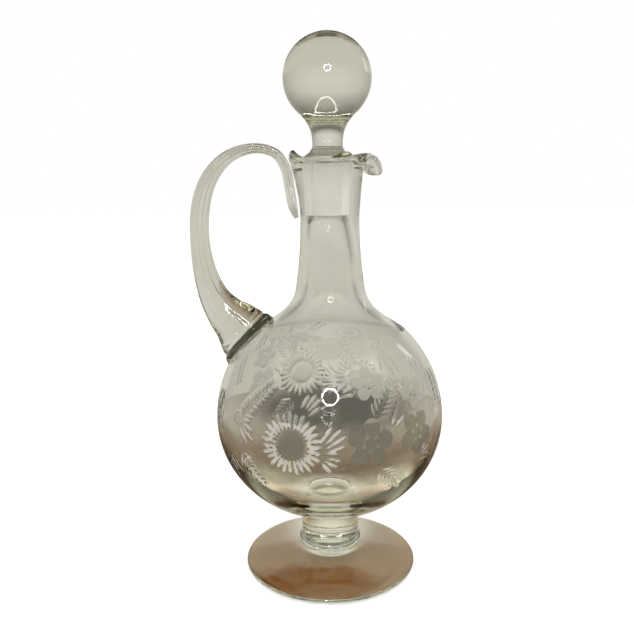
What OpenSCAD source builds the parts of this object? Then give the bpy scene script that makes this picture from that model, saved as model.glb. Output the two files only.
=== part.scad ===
// Wine decanter: a blown and engraved claret jug on a stem and a spread foot,
// with an applied reeded handle and a ground-in ball stopper.
// Millimetres. +Z is up and the origin is the centre of the foot's underside.
// The pouring lip points along +X and the handle along -X.

/* [Foot and stem] */
// Diameter of the foot
foot_d = 98.2; // [94:0.2:106]
// Thickness of the foot at its edge
foot_edge = 1.8; // [1.4:0.1:2.6]
// Height at which the foot ends and the stem begins
foot_top_z = 11.4; // [9:0.1:13]
// Hollow under the middle of the foot, which stands on its outer ring
foot_hollow = 6.6; // [3:0.1:7]
// Diameter of the stem
stem_d = 32.4; // [30:0.2:33]
// Diameter of the pressed ring at the stem's lower end
stem_ring_d = 35.6; // [34.6:0.2:38]
// Height of that ring
stem_ring_high = 5.2; // [4:0.1:6.5]
// Height at which the stem ends and the bowl begins
stem_top_z = 33.2; // [33:0.1:34.4]

/* [Bowl] */
// Widest outside diameter of the bowl
bowl_d = 127.2; // [122:0.2:132]
// Height of the widest place
bowl_mid_z = 89; // [87:0.5:90]
// Drop from the widest place to the lowest point of the bowl's curve
bowl_drop = 57.5; // [56.5:0.5:58]
// Rise from the widest place to where the bowl's curve would close
bowl_rise = 65.4; // [63:0.2:67]
// Wall thickness of the bowl
bowl_wall = 3.4; // [2.4:0.1:4]
// Thickness of the glass at the bottom of the bowl
base_glass = 5.6; // [4.6:0.2:8]
// Depth of the round well in the bottom of the bowl
well = 3; // [1:0.1:3.2]
// Diameter of that well
well_d = 20.5; // [16:0.5:24]

/* [Neck] */
// Diameter at the neck's narrowest place
waist_d = 32; // [31:0.2:34]
// Height of the narrowest place
waist_z = 200; // [198:0.5:203]
// Diameter under the rim
mouth_d = 39.8; // [38.5:0.1:40.5]
// Lowest height of the rim
rim_z = 231.8; // [231.4:0.1:232.4]
// Thickness of the rolled rim
rim_bead = 4.6; // [4:0.1:5]
// Rise of the rim at the handle
heel_rise = 4; // [0:0.1:4.4]
// Rise of the rim at the pouring lip
lip_rise = 3; // [0:0.1:3.4]

/* [Ground joint] */
// Diameter of the socket at its lower end
socket_d = 15.5; // [14.5:0.1:16.5]
// Length of the ground socket
socket_length = 29; // [26:0.5:30]
// Radial clearance of the ground plug
socket_clearance = 0.05; // [0.02:0.01:0.1]
// Length over which the ground diameter grows by one millimetre
taper = 10; // [8:1:12]

/* [Handle] */
// Thickness of the handle at its grip
grip_thick = 10.6; // [9.6:0.1:11.4]
// Width of the handle at its grip
grip_wide = 13.6; // [12:0.1:15]
// Depth of the reeding
reed_depth = 0.55; // [0.2:0.05:0.8]
// Number of reeds around the handle
reeds = 10; // [8:1:12]

/* [Stopper] */
// Overall height with the stopper in
total_height = 295.5; // [293:0.5:299]
// Diameter of the ball
ball_d = 46.6; // [44:0.2:49]
// Diameter of the shank under the ball
shank_d = 16.4; // [15:0.2:18]

/* [Hidden] */
$fn = 96;
glass = [0.78, 0.79, 0.74, 0.45];
thick_glass = [0.72, 0.74, 0.66, 0.6];
curve_steps = 14;

bowl_r = bowl_d / 2;
inner_r = bowl_r - bowl_wall;
inner_drop = bowl_mid_z - stem_top_z - base_glass;
inner_rise = bowl_rise - bowl_wall;

shoulder_angle = 47.7;
neck_root = [19.1, 161.2];
neck_lean = [-0.16, 0.987];
bore_root = [13, 161];
bore_lean = [-0.18, 0.984];
// how much wider the bore is close under the ground socket
bore_widening = 2.9;
// how far each curve of the wall is pulled along its direction at either end
shoulder_pull = [7, 14];
neck_pull = [14, 12];
mouth_pull = [8, 8];
mouth_lean = 1.7;
inner_shoulder_angle = 50;
inner_shoulder_pull = [9, 14];
bore_pull = [12, 5];
socket_step = 0.3;
waist_r = waist_d / 2;
mouth_r = mouth_d / 2;
bead_r = rim_bead / 2;
bead_path_r = mouth_r - bead_r + 0.8;
rim_under_z = rim_z - bead_r - 0.4;

socket_low_r = socket_d / 2;
socket_low_z = 201.6;
socket_top_z = socket_low_z + socket_length;
socket_top_r = socket_low_r + socket_length / taper / 2;

// Points along a cubic curve from a to d, pulled by b and c.
function curve(a, b, c, d, steps = curve_steps) = [
    for (i = [0 : steps])
        let (t = i / steps, u = 1 - t)
            u * u * u * a + 3 * u * u * t * b + 3 * u * t * t * c + t * t * t * d
];

// Points along an ellipse around the bowl's middle, from angle a to angle b.
function bowl_arc(radius, height, a, b, steps) = [
    for (i = [0 : steps])
        let (t = a + (b - a) * i / steps)
            [radius * cos(t), bowl_mid_z + height * sin(t)]
];

// Direction of that ellipse at angle a, going up.
function bowl_slope(radius, height, a) =
    let (v = [-radius * sin(a), height * cos(a)]) v / norm(v);

// A list without its first point, to join it to the one before.
function rest(points) = [for (i = [1 : len(points) - 1]) points[i]];

// The bowl's and neck's outer line, from the stem up to the rolled rim.
flat_angle = -asin((bowl_mid_z - stem_top_z) / bowl_drop);
shoulder = [
    bowl_r * cos(shoulder_angle),
    bowl_mid_z + bowl_rise * sin(shoulder_angle)
];
outer_line = concat(
    bowl_arc(bowl_r, bowl_drop, flat_angle, 0, 24),
    rest(bowl_arc(bowl_r, bowl_rise, 0, shoulder_angle, 16)),
    rest(curve(
        shoulder,
        shoulder + shoulder_pull[0] * bowl_slope(bowl_r, bowl_rise, shoulder_angle),
        neck_root - shoulder_pull[1] * neck_lean,
        neck_root
    )),
    rest(curve(neck_root, neck_root + neck_pull[0] * neck_lean, [waist_r, waist_z - neck_pull[1]],
        [waist_r, waist_z], 10)),
    rest(curve([waist_r, waist_z], [waist_r, waist_z + mouth_pull[0]],
        [mouth_r - mouth_lean, rim_under_z - mouth_pull[1]], [mouth_r, rim_under_z], 10))
);

// The inner line: bowl, shoulder, bore, ground socket and funnel at the mouth.
inner_shoulder = [
    inner_r * cos(inner_shoulder_angle),
    bowl_mid_z + inner_rise * sin(inner_shoulder_angle)
];
well_angle = -78;
well_rim = [inner_r * cos(well_angle), bowl_mid_z + inner_drop * sin(well_angle)];
well_floor_z = stem_top_z + base_glass - well;
inner_line = concat(
    [[0, well_floor_z], [well_d / 2 - 0.6, well_floor_z]],
    curve([well_d / 2 - 0.6, well_floor_z], [well_d / 2 + 0.6, well_floor_z],
        well_rim - [1.3, 0.4], well_rim, 5),
    rest(bowl_arc(inner_r, inner_drop, well_angle, 0, 22)),
    rest(bowl_arc(inner_r, inner_rise, 0, inner_shoulder_angle, 16)),
    rest(curve(
        inner_shoulder,
        inner_shoulder + inner_shoulder_pull[0] * bowl_slope(inner_r, inner_rise, inner_shoulder_angle),
        bore_root - inner_shoulder_pull[1] * bore_lean,
        bore_root
    )),
    rest(curve(bore_root, bore_root + bore_pull[0] * bore_lean,
        [socket_low_r + socket_step + bore_widening, socket_low_z - bore_pull[1]],
        [socket_low_r + socket_step, socket_low_z], 10)),
    [[socket_low_r, socket_low_z], [socket_top_r, socket_top_z]],
    rest(curve([socket_top_r, socket_top_z], [socket_top_r + 1.4, socket_top_z + 0.6],
        [bead_path_r - 3, rim_under_z + 0.4], [bead_path_r - 0.6, rim_under_z + 0.7], 6))
);

// Height of the rim's path at angle a around the neck, 0 being the lip.
function rim_path_z(a) =
    rim_z - bead_r
    + lip_rise * pow(max(0, cos(a)), 1.5)
    + heel_rise * pow(max(0, -cos(a)), 3);

// One ring of points around a place: s is across in the XZ plane along v, w is along Y.
function ring(place, v, s, w, count, reeding, waves) = [
    for (i = [0 : count - 1])
        let (t = 360 * i / count, k = 1 - reeding * (1 - cos(waves * t)) / 2)
            [
                place[0] + v[0] * s * k * cos(t),
                w * k * sin(t),
                place[1] + v[1] * s * k * cos(t)
            ]
];

// A closed solid through a list of rings that all have the same count of points.
// "round" joins the last ring to the first, otherwise both ends are closed flat.
module loft(rings, round = false) {
    count = len(rings[0]);
    last = len(rings) - (round ? 1 : 2);
    sides = [
        for (i = [0 : last], j = [0 : count - 1])
            let (
                k = (i + 1) % len(rings),
                m = (j + 1) % count,
                a = i * count + j, b = i * count + m,
                c = k * count + m, d = k * count + j
            )
                for (face = [[a, c, b], [a, d, c]]) face
    ];
    start = [[for (j = [0 : count - 1]) j]];
    end = [[for (j = [count - 1 : -1 : 0]) (len(rings) - 1) * count + j]];
    polyhedron([for (r = rings, p = r) p], concat(sides, round ? [] : concat(start, end)));
}

// The rolled rim: a bead that rises towards the lip and towards the handle.
module rim() {
    loft([
        for (a = [350 : -10 : 0])
            [
                for (t = [0 : 30 : 330])
                    let (r = bead_path_r + bead_r * cos(t), z = rim_path_z(a) + bead_r * sin(t))
                        [r * cos(a), r * sin(a), z]
            ]
    ], round = true);
}

// The wall that carries the rim where it rises above the neck.
module rim_wall() {
    loft([
        for (a = [350 : -10 : 0])
            [
                for (p = [
                    [mouth_r - 0.2, rim_under_z - 1],
                    [mouth_r - 0.1, rim_path_z(a)],
                    [bead_path_r - bead_r + 0.3, rim_path_z(a)],
                    [bead_path_r - bead_r - 0.3, rim_under_z - 1]
                ])
                    [p[0] * cos(a), p[0] * sin(a), p[1]]
            ]
    ], round = true);
}

// The pouring lip: the rim pulled out into a short gutter that curls down,
// with its half width, the gutter's depth and the glass's thickness along the way.
lip_path = concat(
    curve([16.2, 231.8], [20.5, 233.6], [26.4, 233], [27, 225.4], 8),
    [[26.4, 222.6]]
);
lip_half_width = [9.2, 9.2, 9, 8.6, 8.1, 7.6, 7, 6.5, 5.8, 4.2];
lip_dip = [0.6, 1.2, 1.8, 2.2, 2.2, 2, 1.7, 1.2, 0.8, 0.3];
lip_thick = [3.6, 3.6, 3.6, 3.7, 3.9, 4.2, 4.5, 4.7, 4.4, 2.6];

module lip() {
    last = len(lip_path) - 1;
    loft([
        for (i = [0 : last])
            let (
                along = lip_path[min(i + 1, last)] - lip_path[max(i - 1, 0)],
                out = [-along[1], along[0]] / norm(along),
                across = lip_half_width[i]
            )
                [
                    for (t = [0 : 22.5 : 337.5])
                        let (
                            y = across * cos(t),
                            sink = lip_dip[i] * (1 - pow(cos(t), 2)),
                            n = -sink + lip_thick[i] / 2 * sin(t)
                        )
                            [lip_path[i][0] + out[0] * n, y, lip_path[i][1] + out[1] * n]
                ]
    ]);
}

module bowl_and_neck() {
    color(glass)
        difference() {
            union() {
                difference() {
                    rotate_extrude()
                        polygon(concat(
                            [[0, stem_top_z]],
                            outer_line,
                            [[bead_path_r, rim_under_z + 0.7]],
                            [[0, rim_under_z + 0.7]]
                        ));
                    rotate_extrude()
                        polygon(concat(inner_line, [[0, rim_under_z + 0.7]]));
                }
                rim();
                rim_wall();
                lip();
            }
            // the socket and the mouth stay open through the lip
            translate([0, 0, socket_top_z])
                cylinder(h = total_height, r1 = socket_top_r + 0.5, r2 = socket_top_r + 0.5);
        }
}

module stem() {
    stem_r = stem_d / 2;
    top_r = outer_line[0][0] + 1.5;
    foot_r = stem_r + 0.4;
    groove = [stem_r - 0.2, foot_top_z + stem_ring_high];
    // a cubic curve reaches three quarters of the way to where it is pulled
    pull_r = (stem_ring_d / 2 - stem_r / 4) / 0.75;
    color(thick_glass)
        rotate_extrude()
            polygon(concat(
                [[0, foot_top_z], [foot_r, foot_top_z]],
                rest(curve([foot_r, foot_top_z], [pull_r, foot_top_z + 0.4],
                    [pull_r, groove[1] - 0.6], groove, 8)),
                rest(curve(groove, groove + [0.3, 4], [stem_r - 0.2, stem_top_z - 6], [top_r, stem_top_z], 8)),
                [[0, stem_top_z]]
            ));
}

module foot() {
    foot_r = foot_d / 2;
    edge_r = foot_edge / 2;
    ring_in = foot_r - 5;
    ring_out = foot_r - 0.9;
    inner_ring = stem_d / 2 + 0.4;
    color(glass)
        rotate_extrude()
            polygon(concat(
                [[0, foot_hollow], [inner_ring - 3, foot_hollow]],
                rest(curve([inner_ring - 3, foot_hollow], [0.5 * foot_r, 0.6 * foot_hollow],
                    [0.68 * foot_r, 0.12 * foot_hollow], [ring_in, 0], 12)),
                [[ring_out, 0]],
                [
                    for (t = [-60 : 30 : 60])
                        [foot_r - edge_r + edge_r * cos(t), edge_r + edge_r * sin(t)]
                ],
                curve([foot_r - 1.2, foot_edge + 0.1], [0.76 * foot_r, 0.4 * foot_top_z],
                    [0.52 * foot_r, 0.66 * foot_top_z], [inner_ring, foot_top_z], 12),
                [[0, foot_top_z]]
            ));
}

// The handle's middle line in the XZ plane, from the pad on the bowl to the tail on the neck,
// each point with its thickness and its width.
handle_shape = [
    [[-42, 130.4], 36.5, 22],
    [[-46.6, 136.4], 32.5, 21],
    [[-51.6, 142.2], 27, 18.8],
    [[-57.3, 148.2], 21.6, 16.6],
    [[-63, 157], 16.8, 15.2],
    [[-67.5, 170.2], 13, 14.4],
    [[-69.8, 187.5], grip_thick, grip_wide],
    [[-68.9, 205.5], grip_thick - 0.5, grip_wide - 0.4],
    [[-63.9, 220.6], 9, 12.8],
    [[-53.8, 232], 7.1, 12],
    [[-40.5, 236.8], 5.4, 11.4],
    [[-28.6, 234.6], 5.2, 11],
    [[-22.6, 226.6], 5.6, 10.6],
    [[-20.6, 216.5], 5.4, 10],
    [[-19, 206.5], 5, 8],
    [[-17, 200], 2.4, 3]
];
handle_steps = 3;

// Value at t between b and c on a smooth curve through a, b, c and d.
function through(a, b, c, d, t) =
    0.5 * (2 * b + (c - a) * t + (2 * a - 5 * b + 4 * c - d) * t * t
        + (3 * b - a - 3 * c + d) * t * t * t);

function handle_at(k) =
    let (
        last = len(handle_shape) - 1,
        i = min(floor(k), last - 1),
        t = k - i,
        a = handle_shape[max(i - 1, 0)],
        b = handle_shape[i],
        c = handle_shape[i + 1],
        d = handle_shape[min(i + 2, last)]
    )
        [for (m = [0 : 2]) through(a[m], b[m], c[m], d[m], t)];

module handle_bar() {
    spans = len(handle_shape) - 1;
    loft([
        for (i = [0 : spans * handle_steps])
            let (
                k = i / handle_steps,
                here = handle_at(k),
                along = handle_at(min(k + 0.1, spans))[0] - handle_at(max(k - 0.1, 0))[0],
                across = [along[1], -along[0]] / norm(along)
            )
                ring(here[0], across, here[1] / 2, here[2] / 2, 40, reed_depth / grip_thick, reeds)
    ]);
}

module handle() {
    color(thick_glass)
        difference() {
            handle_bar();
            rotate_extrude()
                polygon(concat(
                    [[0, stem_top_z]],
                    outer_line,
                    [[bead_path_r + bead_r, rim_z - bead_r], [bead_path_r + bead_r, rim_z + heel_rise + 3]],
                    [[0, rim_z + heel_rise + 3]]
                ));
        }
}

module stopper() {
    ball_r = ball_d / 2;
    ball_z = total_height - ball_r;
    shank_r = shank_d / 2;
    plug_low_r = socket_low_r - socket_clearance;
    plug_low_z = socket_low_z + 0.9;
    plug_low = [plug_low_r + (plug_low_z - socket_low_z) / taper / 2, plug_low_z];
    plug_top = [socket_top_r - socket_clearance, socket_top_z];
    join_angle = -48;
    join = [ball_r * cos(join_angle), ball_z + ball_r * sin(join_angle)];
    collar = [12.9, socket_top_z + 1.6];
    groove = [shank_r - 0.25, socket_top_z + 6.9];
    color(thick_glass)
        rotate_extrude()
            polygon(concat(
                [[0, plug_low_z], plug_low - [0.5, 0], plug_low + [0, 0.5], plug_top],
                rest(curve(plug_top, plug_top + [1, 1.2], collar - [0.1, 0.8], collar, 5)),
                rest(curve(collar, collar + [-1.5, 1], [9, socket_top_z + 4.2], groove + [0.45, -0.5], 6)),
                [groove],
                rest(curve(groove, groove + [0.15, 5.5], [shank_r + 0.4, groove[1] + 11.5], join, 10)),
                rest([
                    for (i = [0 : 30])
                        let (t = join_angle + (90 - join_angle) * i / 30)
                            [ball_r * cos(t), ball_z + ball_r * sin(t)]
                ])
            ));
}

bowl_and_neck();
stem();
foot();
handle();
stopper();
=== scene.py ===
"""A blown and engraved claret jug with a ground-in ball stopper, built piece by piece on its frame."""

import math

import bpy
import numpy as np
from mathutils import Matrix, Vector


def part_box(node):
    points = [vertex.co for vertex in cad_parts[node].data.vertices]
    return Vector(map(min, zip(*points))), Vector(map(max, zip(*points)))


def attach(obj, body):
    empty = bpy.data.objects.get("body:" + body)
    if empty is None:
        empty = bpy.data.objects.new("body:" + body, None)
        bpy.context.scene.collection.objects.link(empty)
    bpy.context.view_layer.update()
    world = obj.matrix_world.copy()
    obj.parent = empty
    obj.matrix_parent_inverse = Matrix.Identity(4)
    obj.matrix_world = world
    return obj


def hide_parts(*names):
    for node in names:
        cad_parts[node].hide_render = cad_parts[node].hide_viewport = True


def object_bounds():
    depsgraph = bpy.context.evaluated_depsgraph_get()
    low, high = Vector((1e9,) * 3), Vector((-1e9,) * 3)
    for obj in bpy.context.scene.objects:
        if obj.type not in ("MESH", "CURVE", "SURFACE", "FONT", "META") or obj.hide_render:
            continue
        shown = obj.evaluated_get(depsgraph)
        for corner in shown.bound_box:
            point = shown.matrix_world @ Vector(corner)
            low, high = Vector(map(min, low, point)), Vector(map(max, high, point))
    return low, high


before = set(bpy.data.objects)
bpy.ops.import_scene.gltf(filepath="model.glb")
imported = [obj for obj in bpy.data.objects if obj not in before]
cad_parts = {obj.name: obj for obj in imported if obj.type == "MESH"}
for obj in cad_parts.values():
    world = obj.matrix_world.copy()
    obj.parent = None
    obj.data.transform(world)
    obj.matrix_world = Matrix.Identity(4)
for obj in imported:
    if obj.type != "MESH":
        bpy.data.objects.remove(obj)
cad_box = [list(corner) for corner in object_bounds()]

# ---------------------------------------------------------------------------
# Camera: a standard lens a little above the rim, looking down on the jug, which
# stands slightly right of the middle. The jug leans half a degree in the view.
# ---------------------------------------------------------------------------
jug_height = cad_box[1][2]
eye = Vector((-0.0065, -0.394, 0.2247)) * (jug_height / 0.2955)
eye_tilt = math.radians(11.43)
eye_lean = math.radians(-0.58)

camera = bpy.data.objects.new("camera", bpy.data.cameras.new("camera"))
camera.data.lens = 41.0
camera.data.sensor_width = 36.0
camera.data.clip_start = 0.01
camera.matrix_world = (
    Matrix.Translation(eye)
    @ Matrix.Rotation(math.pi / 2 - eye_tilt, 4, "X")
    @ Matrix.Rotation(eye_lean, 4, "Z")
)
bpy.context.scene.collection.objects.link(camera)
bpy.context.scene.camera = camera


# ---------------------------------------------------------------------------
# Room: the jug stands on a plain pale floor under soft light. What the glass
# bends and mirrors is a grey wall, a brown table top, a ring lamp and a window,
# and these are shown to the glass alone.
# ---------------------------------------------------------------------------
def stage_mesh(name, points, faces, material):
    """A mesh of the room, which isn't part of the jug."""
    mesh = bpy.data.meshes.new(name)
    mesh.from_pydata([tuple(p) for p in points], [], faces)
    mesh.materials.append(material)
    thing = bpy.data.objects.new(name, mesh)
    bpy.context.scene.collection.objects.link(thing)
    return thing


def only_in_glass(thing, lights_room=False):
    """Hides a thing of the room from the camera and leaves it to be seen through and in the glass."""
    thing.visible_camera = False
    thing.visible_shadow = False
    thing.visible_diffuse = lights_room


def level_sheet(name, half_across, front, back, height, material):
    """A level sheet of the room that reaches as far to the left of the jug as to its right."""
    points = [
        (-half_across, front, height),
        (half_across, front, height),
        (half_across, back, height),
        (-half_across, back, height),
    ]
    return stage_mesh(name, points, [(0, 1, 2, 3)], material)


def new_material(name):
    """A fresh material, with its nodes, its links and its surface shader."""
    material = bpy.data.materials.new(name)
    material.use_nodes = True
    nodes, links = material.node_tree.nodes, material.node_tree.links
    return material, nodes, links, nodes["Principled BSDF"]


def plain_paint(name, colour):
    """Flat matt paint."""
    paint, nodes, links, shader = new_material(name)
    shader.inputs["Base Color"].default_value = (*colour, 1.0)
    shader.inputs["Roughness"].default_value = 0.8
    shader.inputs["Specular IOR Level"].default_value = 0.0
    return paint


def lamp_glow(name, colour, strength):
    """The even light of a lamp or a window."""
    glow, nodes, links, shader = new_material(name)
    nodes.clear()
    emit = nodes.new("ShaderNodeEmission")
    emit.inputs["Color"].default_value = (*colour, 1.0)
    emit.inputs["Strength"].default_value = strength
    out = nodes.new("ShaderNodeOutputMaterial")
    links.new(emit.outputs["Emission"], out.inputs["Surface"])
    return glow


def placed(nodes, links, place, scale, shift=(0.0, 0.0, 0.0)):
    """A place in the material, stretched and moved."""
    mapping = nodes.new("ShaderNodeMapping")
    mapping.inputs["Location"].default_value = shift
    mapping.inputs["Scale"].default_value = scale
    links.new(place, mapping.inputs["Vector"])
    return mapping.outputs["Vector"]


def share_of(nodes, links, value, low, high, to_low=0.0, to_high=1.0, blend="LINEAR"):
    """Turns a value that runs from low to high into a share, which runs from 0 to 1 as a rule."""
    share = nodes.new("ShaderNodeMapRange")
    share.interpolation_type = blend
    share.inputs["From Min"].default_value = low
    share.inputs["From Max"].default_value = high
    share.inputs["To Min"].default_value = to_low
    share.inputs["To Max"].default_value = to_high
    links.new(value, share.inputs["Value"])
    return share.outputs["Result"]


def soft_patch(nodes, links, place, centre, half, blur):
    """A mask that is 1 inside an oval seen from above. Its centre and half sizes are in metres, and it
    fades out over the blur, a share of the half size."""
    scale, shift = (1 / half[0], 1 / half[1], 0.0), (-centre[0] / half[0], -centre[1] / half[1], 0.0)
    length = nodes.new("ShaderNodeVectorMath")
    length.operation = "LENGTH"
    links.new(placed(nodes, links, place, scale, shift), length.inputs[0])
    return share_of(nodes, links, length.outputs["Value"], 1 + blur, 1 - blur, blend="SMOOTHSTEP")


def product(nodes, links, first, second):
    """Two values multiplied with each other."""
    times = nodes.new("ShaderNodeMath")
    times.operation = "MULTIPLY"
    links.new(first, times.inputs[0])
    links.new(second, times.inputs[1])
    return times.outputs["Value"]


def tinted(nodes, links, below, mask, colour):
    """Lays a colour over another where the mask says."""
    mix = nodes.new("ShaderNodeMix")
    mix.data_type = "RGBA"
    mix.inputs["B"].default_value = (*colour, 1.0)
    links.new(mask, mix.inputs["Factor"])
    links.new(below, mix.inputs["A"])
    return mix.outputs["Result"]


def clouds(nodes, links, place, scale, detail):
    """Cloudy noise in the material. The greater the scale, the finer it is."""
    noise = nodes.new("ShaderNodeTexNoise")
    noise.inputs["Scale"].default_value = scale
    noise.inputs["Detail"].default_value = detail
    links.new(place, noise.inputs["Vector"])
    return noise


def colour_run(nodes, links, share, stops):
    """Colours that follow one another, each at its own share."""
    ramp = nodes.new("ShaderNodeValToRGB")
    elements = ramp.color_ramp.elements
    (low, first), *middle, (high, last) = stops
    elements[0].position, elements[0].color = low, (*first, 1.0)
    elements[1].position, elements[1].color = high, (*last, 1.0)
    for position, colour in middle:
        elements.new(position).color = (*colour, 1.0)
    links.new(share, ramp.inputs["Fac"])
    return ramp.outputs["Color"]


def table_wood():
    """Old brown table top with streaks in the wood: greyer towards its far edge, dark in a patch behind the
    jug, and with an amber stain under the foot. Close to the foot and under it the top is painted paler:
    painted light where the jug's shadow falls."""
    wood, nodes, links, shader = new_material("table_wood")
    place = nodes.new("ShaderNodeTexCoord").outputs["Object"]
    streaks = clouds(nodes, links, placed(nodes, links, place, (8.0, 26.0, 1.0)), 2.0, 6.0)
    browns = [(0.3, (0.095, 0.06, 0.025)), (0.7, (0.175, 0.12, 0.06))]
    colour = colour_run(nodes, links, streaks.outputs["Fac"], browns)
    blotch = clouds(nodes, links, place, 90.0, 3.0)
    wobble = nodes.new("ShaderNodeMix")
    wobble.data_type = "VECTOR"
    wobble.inputs["Factor"].default_value = 0.02
    links.new(place, wobble.inputs["A"])
    links.new(blotch.outputs["Color"], wobble.inputs["B"])
    warped = wobble.outputs["Result"]
    # where each patch lies, how far it reaches, its blur and its colour
    for there, centre, half, blur, paint in (
        (place, (0.0, 0.42), (1.2, 0.24), 0.35, (0.26, 0.225, 0.175)),
        # a dark patch on the table behind the jug
        (warped, (0.018, 0.285), (0.082, 0.085), 0.3, (0.075, 0.065, 0.05)),
        # painted light: a pale patch close to the foot and a lighter brown one under it, where the jug's
        # shadow falls on the table
        (place, (0.0, -0.04), (0.125, 0.074), 0.2, (0.92, 0.87, 0.60)),
        (place, (0.0, 0.0), (0.056, 0.052), 0.2, (0.56, 0.40, 0.23)),
    ):
        patch = soft_patch(nodes, links, there, centre, half, blur)
        colour = tinted(nodes, links, colour, patch, paint)
    amber = soft_patch(nodes, links, warped, (0.0, -0.0185), (0.034, 0.0165), 0.35)
    patchy = share_of(nodes, links, blotch.outputs["Fac"], 0.35, 0.62, to_low=0.88)
    broken = product(nodes, links, amber, patchy)
    colour = tinted(nodes, links, colour, broken, (0.34, 0.12, 0.0))
    links.new(colour, shader.inputs["Base Color"])
    shader.inputs["Roughness"].default_value = 0.45
    return wood


floor = level_sheet("floor", 4.0, -4.0, 4.0, -0.0012, plain_paint("pale_floor", (0.8, 0.8, 0.79)))
floor.visible_transmission = False
floor.visible_glossy = False

table = level_sheet("table_top", 0.3, -0.16, 0.348, -0.0006, table_wood())
only_in_glass(table)


def ring_points(centre, facing, radius, thickness, turns, sides):
    """A torus: a circle of the given thickness carried round a ring whose axis is facing."""
    a = np.linspace(0, 2 * np.pi, turns, endpoint=False)[:, None]
    b = np.linspace(0, 2 * np.pi, sides, endpoint=False)[None, :]
    reach = radius + thickness * np.cos(b)
    local = np.stack(
        [reach * np.cos(a), reach * np.sin(a), thickness * np.sin(b) + 0 * a], axis=-1
    )
    turn = np.array(Vector(facing).to_track_quat("Z", "Y").to_matrix())
    return (local.reshape(-1, 3) @ turn.T) + np.array(centre)


ring_turns, ring_sides = 64, 8
ring_centre = (0.0, -0.64, 0.475)
ring_faces = [
    (
        i * ring_sides + j,
        ((i + 1) % ring_turns) * ring_sides + j,
        ((i + 1) % ring_turns) * ring_sides + (j + 1) % ring_sides,
        i * ring_sides + (j + 1) % ring_sides,
    )
    for i in range(ring_turns)
    for j in range(ring_sides)
]
ring_lamp = stage_mesh(
    "ring_lamp",
    ring_points(ring_centre, (0.0, 0.64, -0.35), 0.095, 0.0095, ring_turns, ring_sides),
    ring_faces,
    lamp_glow("ring_lamp_glow", (1.0, 0.98, 0.95), 36.0),
)
only_in_glass(ring_lamp, lights_room=True)


def soft_sheet(name, colour, centre, half, blur):
    """A flat sheet with a soft edge: it glows in one colour and lets everything through at its edge."""
    sheet, nodes, links, shader = new_material(name)
    nodes.clear()
    place = nodes.new("ShaderNodeTexCoord").outputs["Object"]
    mask = soft_patch(nodes, links, place, centre, half, blur)
    glow = nodes.new("ShaderNodeEmission")
    glow.inputs["Color"].default_value = (*colour, 1.0)
    clear = nodes.new("ShaderNodeBsdfTransparent")
    mixed = nodes.new("ShaderNodeMixShader")
    out = nodes.new("ShaderNodeOutputMaterial")
    links.new(mask, mixed.inputs["Fac"])
    links.new(clear.outputs["BSDF"], mixed.inputs[1])
    links.new(glow.outputs["Emission"], mixed.inputs[2])
    links.new(mixed.outputs["Shader"], out.inputs["Surface"])
    return sheet


# the light that the bowl gathers on the table behind the foot
pool_glow = soft_sheet("light_pool", (0.73, 0.70, 0.59), (0.0, 0.042), (0.021, 0.03), 0.6)
light_pool = level_sheet("light_pool", 0.06, 0.008, 0.14, -0.0003, pool_glow)
only_in_glass(light_pool)

# a dark sheet high behind the jug keeps the foot's top from mirroring the pale wall
ceiling_dark = soft_sheet("dark_ceiling", (0.02, 0.018, 0.015), (0.0, 1.3), (0.95, 1.0), 0.5)
dark_ceiling = level_sheet("dark_ceiling", 1.5, -0.3, 2.9, 0.8, ceiling_dark)
only_in_glass(dark_ceiling)
dark_ceiling.visible_transmission = False

window_sill, window_top = 0.6, 1.15
window = stage_mesh(
    "window",
    [
        (1.5, 0.83, window_sill),
        (1.41, 0.98, window_sill),
        (1.41, 0.98, window_top),
        (1.5, 0.83, window_top),
    ],
    [(0, 1, 2, 3)],
    lamp_glow("window_glow", (0.95, 0.97, 1.0), 3.2),
)
only_in_glass(window, lights_room=True)
window.visible_transmission = False

sky = bpy.data.objects.new("soft_box", bpy.data.lights.new("soft_box", "AREA"))
sky.data.shape = "SQUARE"
sky.data.size = 3.0
sky.data.energy = 25.0
sky.location = (0.0, -0.3, 2.2)
sky.visible_glossy = False
sky.visible_transmission = False
bpy.context.scene.collection.objects.link(sky)

# The air is grey for what the glass shows, dark behind the eye and pale behind the jug, with pale
# ground below the horizon and a dim ceiling high up. Looked at directly, it is white.
room = bpy.data.worlds.new("room")
room.use_nodes = True
bpy.context.scene.world = room
room_nodes, room_links = room.node_tree.nodes, room.node_tree.links
room_nodes.clear()
direction = room_nodes.new("ShaderNodeTexCoord")
split = room_nodes.new("ShaderNodeSeparateXYZ")
room_links.new(direction.outputs["Generated"], split.inputs["Vector"])
to_the_back = share_of(room_nodes, room_links, split.outputs["Y"], -1.0, 1.0)
greys = [(0.0, (0.07, 0.067, 0.055)), (0.55, (0.2, 0.195, 0.165)), (1.0, (0.66, 0.65, 0.575))]
walls = colour_run(room_nodes, room_links, to_the_back, greys)
downwards = share_of(room_nodes, room_links, split.outputs["Z"], 0.02, -0.1)
walls = tinted(room_nodes, room_links, walls, downwards, (0.59, 0.575, 0.495))
upwards = share_of(room_nodes, room_links, split.outputs["Z"], 0.3, 0.75)
walls = tinted(room_nodes, room_links, walls, upwards, (0.17, 0.165, 0.14))
grey_air = room_nodes.new("ShaderNodeBackground")
room_links.new(walls, grey_air.inputs["Color"])
white_air = room_nodes.new("ShaderNodeBackground")
white_air.inputs["Color"].default_value = (1.0, 1.0, 1.0, 1.0)
path = room_nodes.new("ShaderNodeLightPath")
extra = share_of(room_nodes, room_links, path.outputs["Diffuse Depth"], 0.0, 1.0, 1.0, 1.35)
room_links.new(extra, white_air.inputs["Strength"])
direct = room_nodes.new("ShaderNodeMath")
direct.operation = "ADD"
direct.use_clamp = True
room_links.new(path.outputs["Is Camera Ray"], direct.inputs[0])
room_links.new(path.outputs["Diffuse Depth"], direct.inputs[1])
air = room_nodes.new("ShaderNodeMixShader")
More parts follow.
